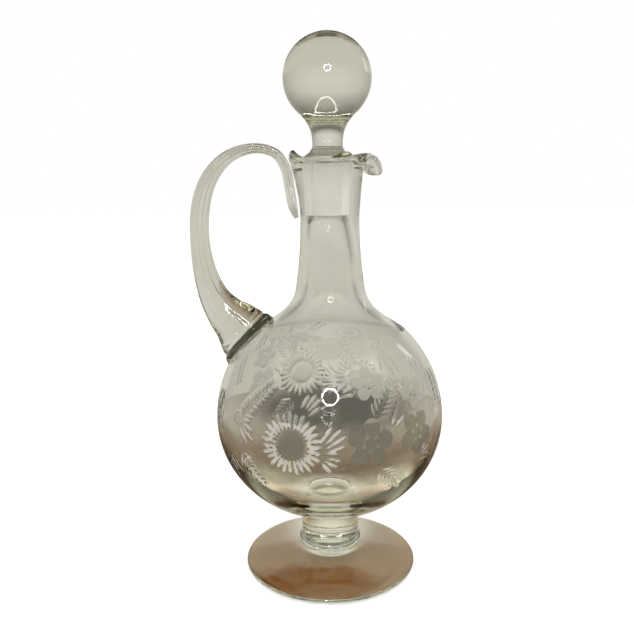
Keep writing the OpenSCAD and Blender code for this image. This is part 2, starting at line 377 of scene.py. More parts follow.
room_links.new(direct.outputs["Value"], air.inputs["Fac"])
room_links.new(grey_air.outputs["Background"], air.inputs[1])
room_links.new(white_air.outputs["Background"], air.inputs[2])
room_out = room_nodes.new("ShaderNodeOutputWorld")
room_links.new(air.outputs["Shader"], room_out.inputs["Surface"])

bpy.context.scene.view_settings.view_transform = "Standard"
bpy.context.scene.cycles.max_bounces = 24
bpy.context.scene.cycles.transmission_bounces = 24
bpy.context.scene.cycles.glossy_bounces = 12
bpy.context.scene.cycles.transparent_max_bounces = 24

# ---------------------------------------------------------------------------
# Foot: a disc of hot glass spread on a board and fused under the stem. It is
# domed underneath and stands on its outer ring, whose edge is fire-polished round.
# ---------------------------------------------------------------------------
MM = 0.001
HAIR = 0.01
GLASS_BEND = 1.51


def blown_waves():
    """A node group: the slow waves that hand work leaves in a glass surface, with a few finer ripples."""
    group = bpy.data.node_groups.new("blown_waves", "ShaderNodeTree")
    group.interface.new_socket("Size", in_out="INPUT", socket_type="NodeSocketFloat")
    group.interface.new_socket("Height", in_out="INPUT", socket_type="NodeSocketFloat")
    group.interface.new_socket("Normal", in_out="OUTPUT", socket_type="NodeSocketVector")
    nodes, links = group.nodes, group.links
    given = nodes.new("NodeGroupInput")
    result = nodes.new("NodeGroupOutput")
    place = nodes.new("ShaderNodeTexCoord")
    waves = nodes.new("ShaderNodeTexNoise")
    waves.inputs["Detail"].default_value = 1.5
    waves.inputs["Roughness"].default_value = 0.35
    links.new(place.outputs["Object"], waves.inputs["Vector"])
    links.new(given.outputs["Size"], waves.inputs["Scale"])
    bump = nodes.new("ShaderNodeBump")
    bump.inputs["Distance"].default_value = 0.001
    links.new(given.outputs["Height"], bump.inputs["Strength"])
    links.new(waves.outputs["Fac"], bump.inputs["Height"])
    links.new(bump.outputs["Normal"], result.inputs["Normal"])
    return group


waves_group = blown_waves()


def clear_glass(name, wave_size, wave_height):
    """Fire-polished soda glass: clear, faintly green where the light goes a long way through it."""
    glass, nodes, links, shader = new_material(name)
    shader.inputs["Base Color"].default_value = (1.0, 1.0, 1.0, 1.0)
    shader.inputs["Roughness"].default_value = 0.0
    shader.inputs["IOR"].default_value = GLASS_BEND
    shader.inputs["Transmission Weight"].default_value = 1.0
    waves = nodes.new("ShaderNodeGroup")
    waves.node_tree = waves_group
    waves.inputs["Size"].default_value = wave_size
    waves.inputs["Height"].default_value = wave_height
    links.new(waves.outputs["Normal"], shader.inputs["Normal"])
    tint = nodes.new("ShaderNodeVolumeAbsorption")
    tint.inputs["Color"].default_value = (0.768, 0.806, 0.565, 1.0)
    tint.inputs["Density"].default_value = 6.0
    links.new(tint.outputs["Volume"], nodes["Material Output"].inputs["Volume"])
    return glass


def fused_seam():
    """Where two gathers are fused there is no surface left inside, so light goes straight through."""
    seam, nodes, links, shader = new_material("fused_seam")
    shader.inputs["Alpha"].default_value = 0.0
    shader.inputs["Transmission Weight"].default_value = 1.0
    shader.inputs["IOR"].default_value = GLASS_BEND
    return seam


seam_material = fused_seam()


def band_faces(index):
    """Four-sided faces between the rows of an index grid whose columns close on themselves."""
    after = np.roll(index, -1, axis=1)
    return np.stack([index[:-1], after[:-1], after[1:], index[1:]], axis=-1).reshape(-1, 4)


def end_faces(first, last, pole):
    """Triangles that close both ends of a surface: its first row to a pole, its last row to the next."""
    return np.concatenate(
        [
            np.stack([np.full(len(first), pole), np.roll(first, -1), first], axis=1),
            np.stack([np.full(len(last), pole + 1), last, np.roll(last, -1)], axis=1),
        ]
    )


def numbered(grid, start=0):
    """The number of every point of a grid, row by row."""
    return np.arange(start, start + grid.shape[0] * grid.shape[1]).reshape(grid.shape[:2])


def rings(outline, a):
    """An outline of (radius, height) points carried round the Z axis at the angles a, as a grid:
    x = r cos a, y = r sin a."""
    height = np.broadcast_to(outline[:, 1:], (len(outline), len(a)))
    return np.stack([outline[:, :1] * np.cos(a), outline[:, :1] * np.sin(a), height], axis=-1)


def turned(outline, turns):
    """A closed surface turned round the Z axis from an outline of (radius, height) points that
    starts and ends on the axis. The first and last points are poles."""
    outline = np.asarray(outline, float)
    grid = rings(outline[1:-1], np.linspace(0, 2 * np.pi, turns, endpoint=False))
    index = numbered(grid)
    poles = [[0, 0, outline[0, 1]], [0, 0, outline[-1, 1]]]
    points = np.vstack([grid.reshape(-1, 3), poles])
    return points, band_faces(index), end_faces(index[0], index[-1], index.size)


def glass_piece(name, points, quads, triangles, materials, body, node, finish):
    """Makes the mesh of one glass piece, in millimetres in and metres out, and hangs it on its body."""
    mesh = bpy.data.meshes.new(name)
    mesh.from_pydata((points * MM).tolist(), [], quads.tolist() + triangles.tolist())
    for material in materials:
        mesh.materials.append(material)
    mesh.polygons.foreach_set("use_smooth", np.ones(len(mesh.polygons), bool))
    mesh.update()
    piece = bpy.data.objects.new(name, mesh)
    bpy.context.scene.collection.objects.link(piece)
    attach(piece, body)
    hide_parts(node)
    return piece


def face_centres(piece):
    """The middle of every face, in millimetres."""
    centres = np.empty(len(piece.data.polygons) * 3)
    piece.data.polygons.foreach_get("center", centres)
    return centres.reshape(-1, 3) / MM


def set_faces(piece, slot_numbers):
    """Gives every face one of the piece's materials."""
    piece.data.polygons.foreach_set("material_index", slot_numbers.astype(np.int32))


def arc(centre, radius, start, end, steps):
    """Points on a circle in the outline's plane, by angle in degrees from the outward direction."""
    a = np.radians(np.linspace(start, end, steps))
    return np.stack([centre[0] + radius * np.cos(a), centre[1] + radius * np.sin(a)], axis=1)


def curve(a, b, c, d, steps):
    """Points on a cubic curve from a to d, pulled towards b and c."""
    t = np.linspace(0, 1, steps)[:, None]
    a, b, c, d = (np.asarray(p, float) for p in (a, b, c, d))
    return (1 - t) ** 3 * a + 3 * (1 - t) ** 2 * t * b + 3 * (1 - t) * t**2 * c + t**3 * d


foot_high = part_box("foot")[1]
foot_r = foot_high[0] / MM
foot_top = foot_high[2] / MM
foot_edge = 1.8
foot_hollow = 6.6
foot_seam_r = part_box("stem")[1][0] / MM - 1.2

foot_outline = np.vstack(
    [
        [[0, foot_hollow], [8, foot_hollow], [13, foot_hollow - 0.1]],
        curve(
            [15.5, foot_hollow - 0.3],
            [24, foot_hollow - 2.4],
            [foot_r - 16, 0.9],
            [foot_r - 5.5, 0.35],
            16,
        ),
        [[foot_r - 4, 0.1], [foot_r - 3, 0.0], [foot_r - 1.4, 0.0]],
        arc([foot_r - foot_edge / 2, foot_edge / 2], foot_edge / 2, -75, 75, 9),
        curve(
            [foot_r - 1.6, foot_edge - 0.02],
            [foot_r * 0.76, foot_top * 0.4],
            [foot_r * 0.52, foot_top * 0.64],
            [foot_seam_r, foot_top],
            22,
        ),
        [[foot_seam_r * 0.5, foot_top], [0, foot_top]],
    ]
)
foot = glass_piece(
    "foot",
    *turned(foot_outline, 192),
    [clear_glass("foot_glass", 45.0, 0.10), seam_material],
    "jug",
    "foot",
    "clear_glass",
)
centres = face_centres(foot)
under_stem = (centres[:, 2] > foot_top - HAIR) & (np.hypot(centres[:, 0], centres[:, 1]) < foot_seam_r)
set_faces(foot, under_stem)

# ---------------------------------------------------------------------------
# Stem: a short solid button of glass between bowl and foot, with a merese, the
# small pressed ring, at its lower end. It is fused to both.
# ---------------------------------------------------------------------------
stem_low, stem_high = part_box("stem")
stem_bottom = stem_low[2] / MM
stem_top = stem_high[2] / MM
merese_r = stem_high[0] / MM
merese_high = 5.2
stem_r = merese_r - 1.6
bowl_seam_r = 15.3
# a cubic curve reaches three quarters of the way to where it is pulled
pull_r = (merese_r - stem_r / 4) / 0.75

stem_outline = np.vstack(
    [
        [[0, stem_bottom], [foot_seam_r * 0.5, stem_bottom]],
        curve(
            [foot_seam_r, stem_bottom],
            [pull_r, stem_bottom + 0.4],
            [pull_r, stem_bottom + merese_high - 0.6],
            [stem_r - 0.2, stem_bottom + merese_high],
            16,
        ),
        curve(
            [stem_r - 0.15, stem_bottom + merese_high + 0.3],
            [stem_r + 0.2, stem_bottom + merese_high + 4],
            [stem_r - 0.2, stem_top - 6],
            [stem_r + 0.6, stem_top - 0.3],
            16,
        ),
        [[stem_r + 0.4, stem_top - 0.02], [bowl_seam_r, stem_top]],
        [[bowl_seam_r * 0.5, stem_top], [0, stem_top]],
    ]
)
stem = glass_piece(
    "stem",
    *turned(stem_outline, 160),
    [clear_glass("stem_glass", 60.0, 0.15), seam_material],
    "jug",
    "stem",
    "clear_glass",
)
centres = face_centres(stem)
reach = np.hypot(centres[:, 0], centres[:, 1])
on_foot = (centres[:, 2] < stem_bottom + HAIR) & (reach < foot_seam_r)
under_bowl = (centres[:, 2] > stem_top - HAIR) & (reach < bowl_seam_r)
set_faces(stem, on_foot | under_bowl)

# ---------------------------------------------------------------------------
# Bowl and neck: one blown bubble, with the neck drawn from it, the mouth ground
# out for the stopper, and the rim rolled and pulled into a lip that curls down.
# Flowers and ferns are cut with a stone wheel and left matt.
# ---------------------------------------------------------------------------
bowl_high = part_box("bowl_and_neck")[1]
bowl_r = bowl_high[1] / MM
bowl_mid = stem_top + 55.8
bowl_drop, bowl_rise = 57.5, 65.4
wall = 3.4
base_glass = 5.6
shoulder = 47.7
band_low, band_high = -36.0, 56.0
heel = 4.0
rim_low = bowl_high[2] / MM - heel
bead = 2.3


def bowl_arc(radius, height, start, end, steps):
    """Points on the bowl's ellipse in the outline's plane, by angle in degrees from its waist."""
    a = np.radians(np.linspace(start, end, steps))
    return np.stack([radius * np.cos(a), bowl_mid + height * np.sin(a)], axis=1)


def bowl_run(radius, height, angle):
    """The direction in which that ellipse runs at an angle, going up."""
    run = np.array([-radius * math.sin(math.radians(angle)), height * math.cos(math.radians(angle))])
    return run / np.linalg.norm(run)


shoulder_point = bowl_arc(bowl_r, bowl_rise, shoulder, shoulder, 1)[0]
neck_root = np.array([19.1, stem_top + 128.0])
neck_run = np.array([-0.16, 0.987])
waist = np.array([16.0, stem_top + 166.8])
mouth = np.array([19.9, rim_low - 2.9])
outer_shoulder = curve(
    shoulder_point,
    shoulder_point + 7 * bowl_run(bowl_r, bowl_rise, shoulder),
    neck_root - 14 * neck_run,
    neck_root,
    26,
)
outer_neck = np.vstack(
    [
        curve(neck_root, neck_root + 14 * neck_run, waist - [0, 12], waist, 16)[1:],
        curve(waist, waist + [0, 8], mouth - [1.7, 8], mouth, 14)[1:],
    ]
)

# the ground socket tapers one in ten on its diameter
plug_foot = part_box("stopper")[0][2] / MM
socket_low = np.array([7.75, plug_foot - 0.9])
socket_high = socket_low + [1.45, 29.0]
inner_r = bowl_r - wall
inner_drop = bowl_mid - stem_top - base_glass
inner_rise = bowl_rise - wall
inner_shoulder = 50.0
inner_shoulder_point = bowl_arc(inner_r, inner_rise, inner_shoulder, inner_shoulder, 1)[0]
# a round well is pressed into the bottom when the stem is fused on
well_angle = 78
well_rim = bowl_mid - inner_drop * math.sin(math.radians(well_angle))
well_floor = stem_top + 2.6
bore_root = np.array([13.0, stem_top + 127.8])
bore_run = np.array([-0.18, 0.984])
inner_line = np.vstack(
    [
        curve(socket_high, socket_low, socket_low, socket_low, 2),
        [[socket_low[0] + 0.25, socket_low[1] - 0.3]],
        curve(
            socket_low + [0.3, -0.5],
            socket_low + [3.2, -5.0],
            bore_root + 12 * bore_run,
            bore_root,
            12,
        ),
        curve(
            bore_root,
            bore_root - 14 * bore_run,
            inner_shoulder_point + 9 * bowl_run(inner_r, inner_rise, inner_shoulder),
            inner_shoulder_point,
            14,
        )[1:],
        bowl_arc(inner_r, inner_rise, inner_shoulder, 0, 13)[1:],
        bowl_arc(inner_r, inner_drop, 0, 1 - well_angle, 22)[1:],
        curve(
            [12.7, well_rim + 0.05],
            [11.4, well_rim - 0.35],
            [11.0, well_floor + 0.3],
            [10.0, well_floor + 0.05],
            7,
        ),
        [[5.0, well_floor], [0, well_floor]],
    ]
)


def local_mm(lon, lat, centre_lon, centre_lat, turn=0.0):
    """Places on the bowl as flat millimetres east and north of a centre, turned by an angle in degrees.
    The distance is the angle between the two directions from the bowl's middle times the bowl's radius."""
    lon, lat = np.radians(lon), np.radians(lat)
    a, b = math.radians(centre_lon), math.radians(centre_lat)
    east = np.cos(lat) * np.sin(lon - a)
    north = np.sin(lat) * math.cos(b) - np.cos(lat) * math.sin(b) * np.cos(lon - a)
    ahead = np.sin(lat) * math.sin(b) + np.cos(lat) * math.cos(b) * np.cos(lon - a)
    away = np.arctan2(np.hypot(east, north), ahead) * bowl_r
    scale = away / np.maximum(np.hypot(east, north), 1e-9)
    u, v = east * scale, north * scale
    c, s = math.cos(math.radians(turn)), math.sin(math.radians(turn))
    return u * c + v * s, v * c - u * s


def leaf_cut(u, v, start, length, half_width, angle, depth):
    """Depth of one boat-shaped cut: it begins at start, runs at angle, is pointed at both ends and
    deepest in its middle. Across, the cut is a rounded groove."""
    c, s = math.cos(math.radians(angle)), math.sin(math.radians(angle))
    du, dv = u - start[0], v - start[1]
    along = (du * c + dv * s) / length
    across = (dv * c - du * s) / half_width
    taper = np.clip(4 * along * (1 - along), 0, 1) ** 0.6
    groove = 1 - (across / np.maximum(taper, 1e-3)) ** 2
    return depth * np.clip(groove, 0, 1) ** 0.75 * taper * ((along > 0) & (along < 1))


def round_cut(u, v, centre, radius, depth):
    """Depth of one round cut with a nearly flat floor and a short slope at its edge."""
    away = np.hypot(u - centre[0], v - centre[1]) / radius
    return depth * np.clip((1 - away**2) * 2.2, 0, 1) ** 0.6


def daisy(lon, lat, where, disc, reach, petals):
    """A matt disc with two staggered rows of narrow petals round it."""
    u, v = local_mm(lon, lat, *where)
    cut = round_cut(u, v, (0, 0), disc, 0.32)
    for k in range(petals):
        angle = 360 * k / petals
        inside = disc + 0.5
        grow = 1.0 if k % 2 else 0.86
        start = (inside * math.cos(math.radians(angle)), inside * math.sin(math.radians(angle)))
        half = 0.40 * 2 * math.pi * (disc + reach) / 2 / petals
        cut = np.maximum(cut, leaf_cut(u, v, start, (reach - inside) * grow, half, angle, 0.6))
    return cut


def round_flower(lon, lat, where, spread_mm, petal, turn):
    """Five round matt petals about a small eye."""
    u, v = local_mm(lon, lat, *where)
    cut = round_cut(u, v, (0, 0), petal * 0.62, 0.42)
    for k in range(5):
        a = math.radians(turn + 72 * k)
        cut = np.maximum(cut, round_cut(u, v, (spread_mm * math.cos(a), spread_mm * math.sin(a)), petal, 0.3))
    return cut


def fern(lon, lat, where, heading, length, pairs, leaflet):
    """A fine vein with pairs of slanting leaflets that shorten towards the tip."""
    u, v = local_mm(lon, lat, *where, heading)
    cut = leaf_cut(u, v, (0, 0), length, 0.45, 0, 0.25)
    for k in range(pairs):
        along = length * (0.06 + 0.86 * k / pairs)
        size = leaflet * (1 - 0.5 * k / pairs)
        for side in (1, -1):
            start = (along, side * 0.7)
            cut = np.maximum(cut, leaf_cut(u, v, start, size, 0.85, side * 42, 0.45))
    return cut


def spray(lon, lat, where, heading, blades, length, half_width, fan):
    """Long blades that fan out from a short row of starts."""
    u, v = local_mm(lon, lat, *where, heading)
    cut = np.zeros_like(lon)
    for k in range(blades):
        angle = fan * (k / max(blades - 1, 1) - 0.5)
        off = k - (blades - 1) / 2
        size = length * (1 - 0.16 * abs(off))
        start = (-0.9 * abs(off), 2.0 * half_width * off)
        cut = np.maximum(cut, leaf_cut(u, v, start, size, half_width, angle, 0.5))
    return cut


# each side of the bowl carries the same bunch, by degrees from its front and above its waist
daisies = [((-16, 36), 5.1, 12.0, 25), ((-18.5, 3.5), 7.1, 17.0, 27)]
round_flowers = [
    ((17.7, 4), 7.9, 5.2, 11),
    ((44, 4.5), 7.5, 4.9, 55),
    ((19.5, 30), 5.6, 3.7, 20),
    ((45.5, 23), 5.8, 3.8, 40),
]
ferns = [
    ((-48, 9), 54, 32, 9, 7.5),
    ((19.5, 13.5), 52, 29, 8, 8.0),
    ((21.5, -10), -40, 25, 7, 8.5),
    ((4, 51), -58, 17, 5, 6.0),
    ((-47, -5), -56, 25, 7, 7.5),
    ((70.5, 30), -100, 24, 7, 6.5),
    ((73, -4), -110, 24, 6, 7.0),
    ((-70, 20), -95, 24, 6, 7.0),
]
sprays = [
    ((-11.5, 19.5), 48, 4, 9.5, 0.8, 24),
    ((4.5, 26.5), 24, 3, 8.5, 0.7, 40),
    ((-2.5, 4.0), 38, 4, 13.5, 0.95, 34),
    ((-3.0, -2.0), -22, 4, 10.0, 0.8, 50),
    ((-46, 7.5), -34, 3, 11.0, 0.9, 30),
    ((29, 9.5), 52, 2, 11.0, 0.9, 24),
    ((47.5, -9), 20, 4, 10.0, 0.8, 50),
    ((33.5, 52), 258, 1, 24.0, 0.45, 0),
    ((57, 38), 250, 3, 14.0, 0.8, 24),
    ((-60, -12), -70, 3, 13.0, 0.8, 30),
]


def engraving(lon, lat):
    """Depth of all the cuts at every place of the bowl, in millimetres. Cuts that cross keep the deeper.
    The round cuts are also given by themselves, as they're ground smoother than the narrow ones."""
    depth = np.zeros_like(lon)
    rounds = np.zeros_like(lon)
    for half in (0, 180):
        for cut, places in ((daisy, daisies), (round_flower, round_flowers), (fern, ferns), (spray, sprays)):
            for where, *shape in places:
                there = (where[0] + half, where[1])
                mark = cut(lon, lat, there, *shape)
                depth = np.maximum(depth, mark)
                if cut is daisy:
                    mark = round_cut(*local_mm(lon, lat, *there), (0, 0), shape[0], 1.0)
                if cut in (daisy, round_flower):
                    rounds = np.maximum(rounds, mark)
    # the bunch on the far side is cut more lightly
    light_hand = np.where(np.sin(np.radians(lon)) > 0, 0.45, 1.0)
    return depth * light_hand, rounds * light_hand


fine_turns, plain_turns = 600, 200
band_rows = 132
fine_a = np.arange(fine_turns) * 2 * np.pi / fine_turns
plain_a = np.arange(plain_turns) * 2 * np.pi / plain_turns


def bowl_surface(lat, a, sink):
    """The bowl's outside as a grid: an ellipsoid with different heights above and below its waist,
    with each point sunk along the normal by the depth of the cuts."""
    lat, a = np.meshgrid(np.radians(lat), a, indexing="ij")
    height = np.where(lat > 0, bowl_rise, bowl_drop)
    point = np.stack(
        [
            bowl_r * np.cos(lat) * np.cos(a),
            bowl_r * np.cos(lat) * np.sin(a),
            bowl_mid + height * np.sin(lat),
        ],
        axis=-1,
    )
    normal = np.stack(
        [
            np.cos(lat) * np.cos(a) / bowl_r,
            np.cos(lat) * np.sin(a) / bowl_r,
            np.sin(lat) / height,
        ],
        axis=-1,
    )
    normal /= np.linalg.norm(normal, axis=-1, keepdims=True)
    return point - normal * sink[..., None]


def band_depth(lat, a):
    """The cuts at every place of the bowl's band, whose front is at minus 90 degrees."""
    lat, a = np.meshgrid(lat, a, indexing="ij")
    return engraving((np.degrees(a) + 90) % 360, lat)


def smooth_step(x, low, high):
    """Runs softly from 0 at low to 1 at high: 3 t^2 - 2 t^3."""
    t = np.clip((x - low) / (high - low), 0, 1)
    return t * t * (3 - 2 * t)


def mouth_surface(a):
    """The rolled rim, the lip and the funnel above the neck, as a grid of rows from outside to inside.
    Every column is a blend of the plain rim's outline and the lip's, by two weights: how far the rim
    is pulled out, and how far it is curled down."""
    off = np.degrees(np.abs((a + np.pi) % (2 * np.pi) - np.pi))
    pulled = 1 / (1 + (off / 24) ** 3)
    curled = smooth_step(off, 62, 16)
    raised = 3.2 * smooth_step(off, 92, 48) + heel * smooth_step(off, 128, 180)
    bead_mid = [mouth[0] - bead + 0.8, rim_low - bead]
    funnel_end = socket_high + [0.25, 0.1]
    plain = np.vstack(
        [
            [mouth + [0.15, 0.6]],
            arc(bead_mid, bead, -25, 165, 12),
            [[bead_mid[0] - bead - 0.8, rim_low - 1.9]],
            curve([13.6, rim_low - 1.1], [12.4, rim_low - 0.9], [10.6, rim_low - 0.8], funnel_end, 5),
        ]
    )
    nose = [26.8, rim_low - 8.2]
    lip = np.vstack(
        [
            [[20.4, rim_low - 4.8], [23.2, rim_low - 4.6]],
            arc(nose, bead, 150, 360, 8),
            curve(
                [nose[0] + bead, nose[1] + 1.6],
                [nose[0] + bead, rim_low - 4.0],
                [26.8, rim_low + 0.8],
                [22.8, rim_low + 1.6],
                4,
            )[:3],
            [[22.6, rim_low + 1.6]],
            curve([19.6, rim_low + 1.3], [15.2, rim_low - 0.3], [11.6, rim_low - 0.8], funnel_end, 5),
        ]
    )
    out = pulled[None, :]
    down = curled[None, :]
    r = plain[:, :1] + (lip[:, :1] - plain[:, :1]) * out
    z = plain[:, 1:] + (lip[:, 1:] - plain[:, 1:]) * down
    share = np.linspace(0, 1, len(plain))[:, None]
    lift = np.sin(np.pi * np.clip(share * 1.25, 0, 1)) ** 0.8
    z = z + raised[None, :] * lift * (1 - 0.75 * down)
    return np.stack([r * np.cos(a), r * np.sin(a), z], axis=-1)


def neck_offset(z, fade_low, fade_high):
    """How far the hand-drawn neck stands off the jug's axis towards the lip, by height: 1 mm at most."""
    return smooth_step(z, bowl_mid + 38, bowl_mid + 68) * smooth_step(z, fade_high, fade_low)


def bowl_and_neck_mesh():
    """All rows of the bubble from the seam under it, up the outside, over the rim and down the inside."""
    seam_lat = -math.degrees(math.asin((bowl_mid - stem_top) / bowl_drop))
    low_lat = np.linspace(seam_lat, band_low, 12)[:-1]
    band_lat = np.linspace(band_low, band_high, band_rows)
    depth, rounds = band_depth(band_lat, fine_a)
    depth[[0, -1]] = 0
    band = bowl_surface(band_lat, fine_a, depth)

    top_of_band = bowl_arc(bowl_r, bowl_rise, band_high, band_high, 1)[0]
    above = outer_shoulder[outer_shoulder[:, 1] > top_of_band[1] + 0.5]
    low = bowl_surface(low_lat, plain_a, np.zeros((len(low_lat), plain_turns)))
    high = np.concatenate(
        [
            rings(np.vstack([above, outer_neck]), plain_a),
            mouth_surface(plain_a),
            rings(inner_line[:-1], plain_a),
        ]
    )
    return low, band, depth, rounds, high


def fit_band_to_shoulder(band):
    """Above the angle where the shoulder leaves the ellipse, the band's rows follow the shoulder's curve."""
    clean = bowl_surface(np.linspace(band_low, band_high, band_rows), fine_a, np.zeros(band.shape[:2]))
    clean_r = np.hypot(clean[..., 0], clean[..., 1])
    wanted = np.interp(clean[..., 2], outer_shoulder[:, 1], outer_shoulder[:, 0])
    scale = np.where(clean[..., 2] > shoulder_point[1], wanted / clean_r, 1.0)
    band = band.copy()
    band[..., 0] *= scale
    band[..., 1] *= scale
    return band


low, band, depth, rounds, high = bowl_and_neck_mesh()
band = fit_band_to_shoulder(band)
low_index = numbered(low)
band_index = numbered(band, low_index.size)
high_index = numbered(high, low_index.size + band_index.size)
bowl_pole = low_index.size + band_index.size + high_index.size


def step_down(fine_row, plain_row, fine_above):
    """Triangles that join a row to one with a third of its points."""
    j = np.arange(len(plain_row))
    fine = [fine_row[(3 * j + k) % len(fine_row)] for k in range(4)]
    here, after = plain_row, np.roll(plain_row, -1)
    faces = np.concatenate(
        [
            np.stack([here, fine[1], fine[0]], axis=1),
            np.stack([here, after, fine[1]], axis=1),
            np.stack([after, fine[2], fine[1]], axis=1),
            np.stack([after, fine[3], fine[2]], axis=1),
        ]
    )
    return faces if fine_above else faces[:, ::-1]


inner_rows = np.arange(high.shape[0]) >= high.shape[0] - len(inner_line) + 1
band[..., 0] += neck_offset(band[..., 2], waist[1] + 4, mouth[1])
high[..., 0] += np.where(
    inner_rows[:, None],
    neck_offset(high[..., 2], socket_low[1] - 26, socket_low[1] - 4),
    neck_offset(high[..., 2], waist[1] + 4, mouth[1]),
)
bowl_points = np.vstack(
    [low.reshape(-1, 3), band.reshape(-1, 3), high.reshape(-1, 3), [[0, 0, stem_top], [0, 0, well_floor]]]
)
bowl_quads = np.concatenate([band_faces(low_index), band_faces(band_index), band_faces(high_index)])
bowl_triangles = np.concatenate(
    [
        step_down(band_index[0], low_index[-1], True),
        step_down(band_index[-1], high_index[0], False),
        end_faces(low_index[0], high_index[-1], bowl_pole),
    ]
)


def engraved_glass(name, clearness, colour):
    """Clear glass whose cuts are matt: the depth of cut, kept on the mesh, drives the roughness.
    A wheel-cut face also scatters light, so less than all of it goes through."""
    glass = clear_glass(name, 38.0, 0.03)
    nodes, links = glass.node_tree.nodes, glass.node_tree.links
    shader = nodes["Principled BSDF"]
    shader.inputs["Transmission Weight"].default_value = clearness
    shader.inputs["Base Color"].default_value = (*colour, 1.0)
    cut = nodes.new("ShaderNodeAttribute")
    cut.attribute_name = "matt"
    place = nodes.new("ShaderNodeTexCoord").outputs["Object"]
    grains = clouds(nodes, links, place, 2600.0, 2.0)
    matt = share_of(nodes, links, cut.outputs["Fac"], 0.25, 0.75, to_high=0.42)
    links.new(matt, shader.inputs["Roughness"])
    height = product(nodes, links, cut.outputs["Fac"], grains.outputs["Fac"])
    bump = nodes.new("ShaderNodeBump")
    bump.inputs["Distance"].default_value = 0.00012
    bump.inputs["Strength"].default_value = 0.6
    links.new(height, bump.inputs["Height"])
    waves = next(n for n in nodes if n.type == "GROUP")
    links.new(waves.outputs["Normal"], bump.inputs["Normal"])
    links.new(bump.outputs["Normal"], shader.inputs["Normal"])
    return glass


def ground_glass(name, roughness, clearness, colour):
    """Glass ground with emery: matt through and through, with fine turning marks round the axis."""
    glass = clear_glass(name, 38.0, 0.05)
    nodes, links = glass.node_tree.nodes, glass.node_tree.links
    shader = nodes["Principled BSDF"]
    shader.inputs["Roughness"].default_value = roughness
    shader.inputs["Transmission Weight"].default_value = clearness
    shader.inputs["Base Color"].default_value = (*colour, 1.0)
    place = nodes.new("ShaderNodeTexCoord").outputs["Object"]
    marks = clouds(nodes, links, placed(nodes, links, place, (60.0, 60.0, 2600.0)), 1.0, 3.0)
    bump = nodes.new("ShaderNodeBump")
    bump.inputs["Distance"].default_value = 0.00005
    bump.inputs["Strength"].default_value = 0.5
    links.new(marks.outputs["Fac"], bump.inputs["Height"])
    links.new(bump.outputs["Normal"], shader.inputs["Normal"])
    return glass


bowl = glass_piece(
    "bowl_and_neck",
    bowl_points,
    bowl_quads,
    bowl_triangles,
    [
        engraved_glass("engraved_glass", 1.0, (1.0, 1.0, 1.0)),
        seam_material,
        ground_glass("ground_socket", 0.45, 0.36, (1.0, 0.98, 0.91)),
        # these copies of one cut glass differ only in how white they scatter: painted light by where the cuts
        # lie
        engraved_glass("cut_strokes", 0.73, (0.96, 0.9, 0.82)),
        engraved_glass("cut_rounds", 0.93, (0.93, 0.82, 0.68)),
        engraved_glass("faint_strokes", 0.88, (0.95, 0.92, 0.85)),
    ],
    "jug",
    "bowl_and_neck",
    "engraved_glass",
)
matt = np.zeros(len(bowl_points))
matt[band_index.ravel()] = smooth_step(depth.ravel(), 0.02, 0.16)
bowl.data.attributes.new("matt", "FLOAT", "POINT").data.foreach_set("value", matt)

centres = face_centres(bowl)
reach = np.hypot(centres[:, 0], centres[:, 1])
SEAM, SOCKET, STROKES, ROUNDS, FAINT = 1, 2, 3, 4, 5
bowl_slots = np.zeros(len(centres))
quad_matt = matt[bowl_quads].mean(axis=1)
round_points = np.zeros(len(bowl_points))
round_points[band_index.ravel()] = rounds.ravel() > 0.02
quad_round = round_points[bowl_quads].mean(axis=1)
quad_mid = centres[: len(bowl_quads)]
# the same cuts get different copies of the cut glass by where they lie, as painted light: those facing the
# eye low on the bowl scatter whiter, those higher up get a paler, clearer copy, and those on the far side
# stay clear
front_limit, faint_above = 8, bowl_mid + 15
facing = (quad_matt > 0.5) & (quad_mid[:, 1] < front_limit)
quad_slots = bowl_slots[: len(bowl_quads)]
quad_slots[facing] = STROKES
quad_slots[facing & (quad_round > 0)] = ROUNDS
quad_slots[facing & (quad_mid[:, 2] > faint_above)] = FAINT
bowl_slots[(centres[:, 2] < stem_top + HAIR) & (reach < bowl_seam_r)] = SEAM
in_socket = (
    (centres[:, 2] > socket_low[1])
    & (centres[:, 2] < socket_high[1])
    & (reach < socket_high[0] + 0.05)
)
bowl_slots[in_socket] = SOCKET

# ---------------------------------------------------------------------------
# Handle: a solid strap of glass, pressed on the shoulder as a thick pad, pulled
# up into a loop, reeded along its length, and fused to the neck, down which its
# end is drawn to a thin tail.
# ---------------------------------------------------------------------------
# places in the plane of handle and lip, with the strap's thickness and width there
strap = np.array(
    [
        [-42.0, 130.4, 36.5, 22.0],
        [-46.6, 136.4, 32.5, 21.0],
        [-51.6, 142.2, 27.0, 18.8],
        [-57.3, 148.2, 21.6, 16.6],
        [-63.0, 157.0, 16.8, 15.2],
        [-67.5, 170.2, 13.0, 14.4],
        [-69.8, 187.5, 10.6, 13.6],
        [-68.9, 205.5, 10.1, 13.2],
        [-63.9, 220.6, 9.0, 12.8],
        [-53.8, 232.0, 7.1, 12.0],
        [-40.5, 236.8, 5.4, 11.4],
        [-28.6, 234.6, 5.2, 11.0],
        [-22.6, 226.6, 5.6, 10.6],
        [-20.6, 216.5, 5.4, 10.0],
        [-19.0, 206.5, 5.0, 8.0],
        [-17.0, 200.0, 2.4, 3.0],
    ]
)
strap[:, 1] += bowl_mid - 89.0
strap_rows, strap_sides = 240, 72
reeds, reed_depth = 8, 0.13


def through_points(values, rows):
    """A smooth run through all the given rows of values: between two of them, a cubic that keeps the
    slope of its neighbours."""
    padded = np.vstack([2 * values[0] - values[1], values, 2 * values[-1] - values[-2]])
    k = np.linspace(0, len(values) - 1, rows)
    i = np.minimum(k.astype(int), len(values) - 2)
    t = (k - i)[:, None]
    a, b, c, d = padded[i], padded[i + 1], padded[i + 2], padded[i + 3]
    return 0.5 * (2 * b + (c - a) * t + (2 * a - 5 * b + 4 * c - d) * t**2 + (3 * b - a - 3 * c + d) * t**3)


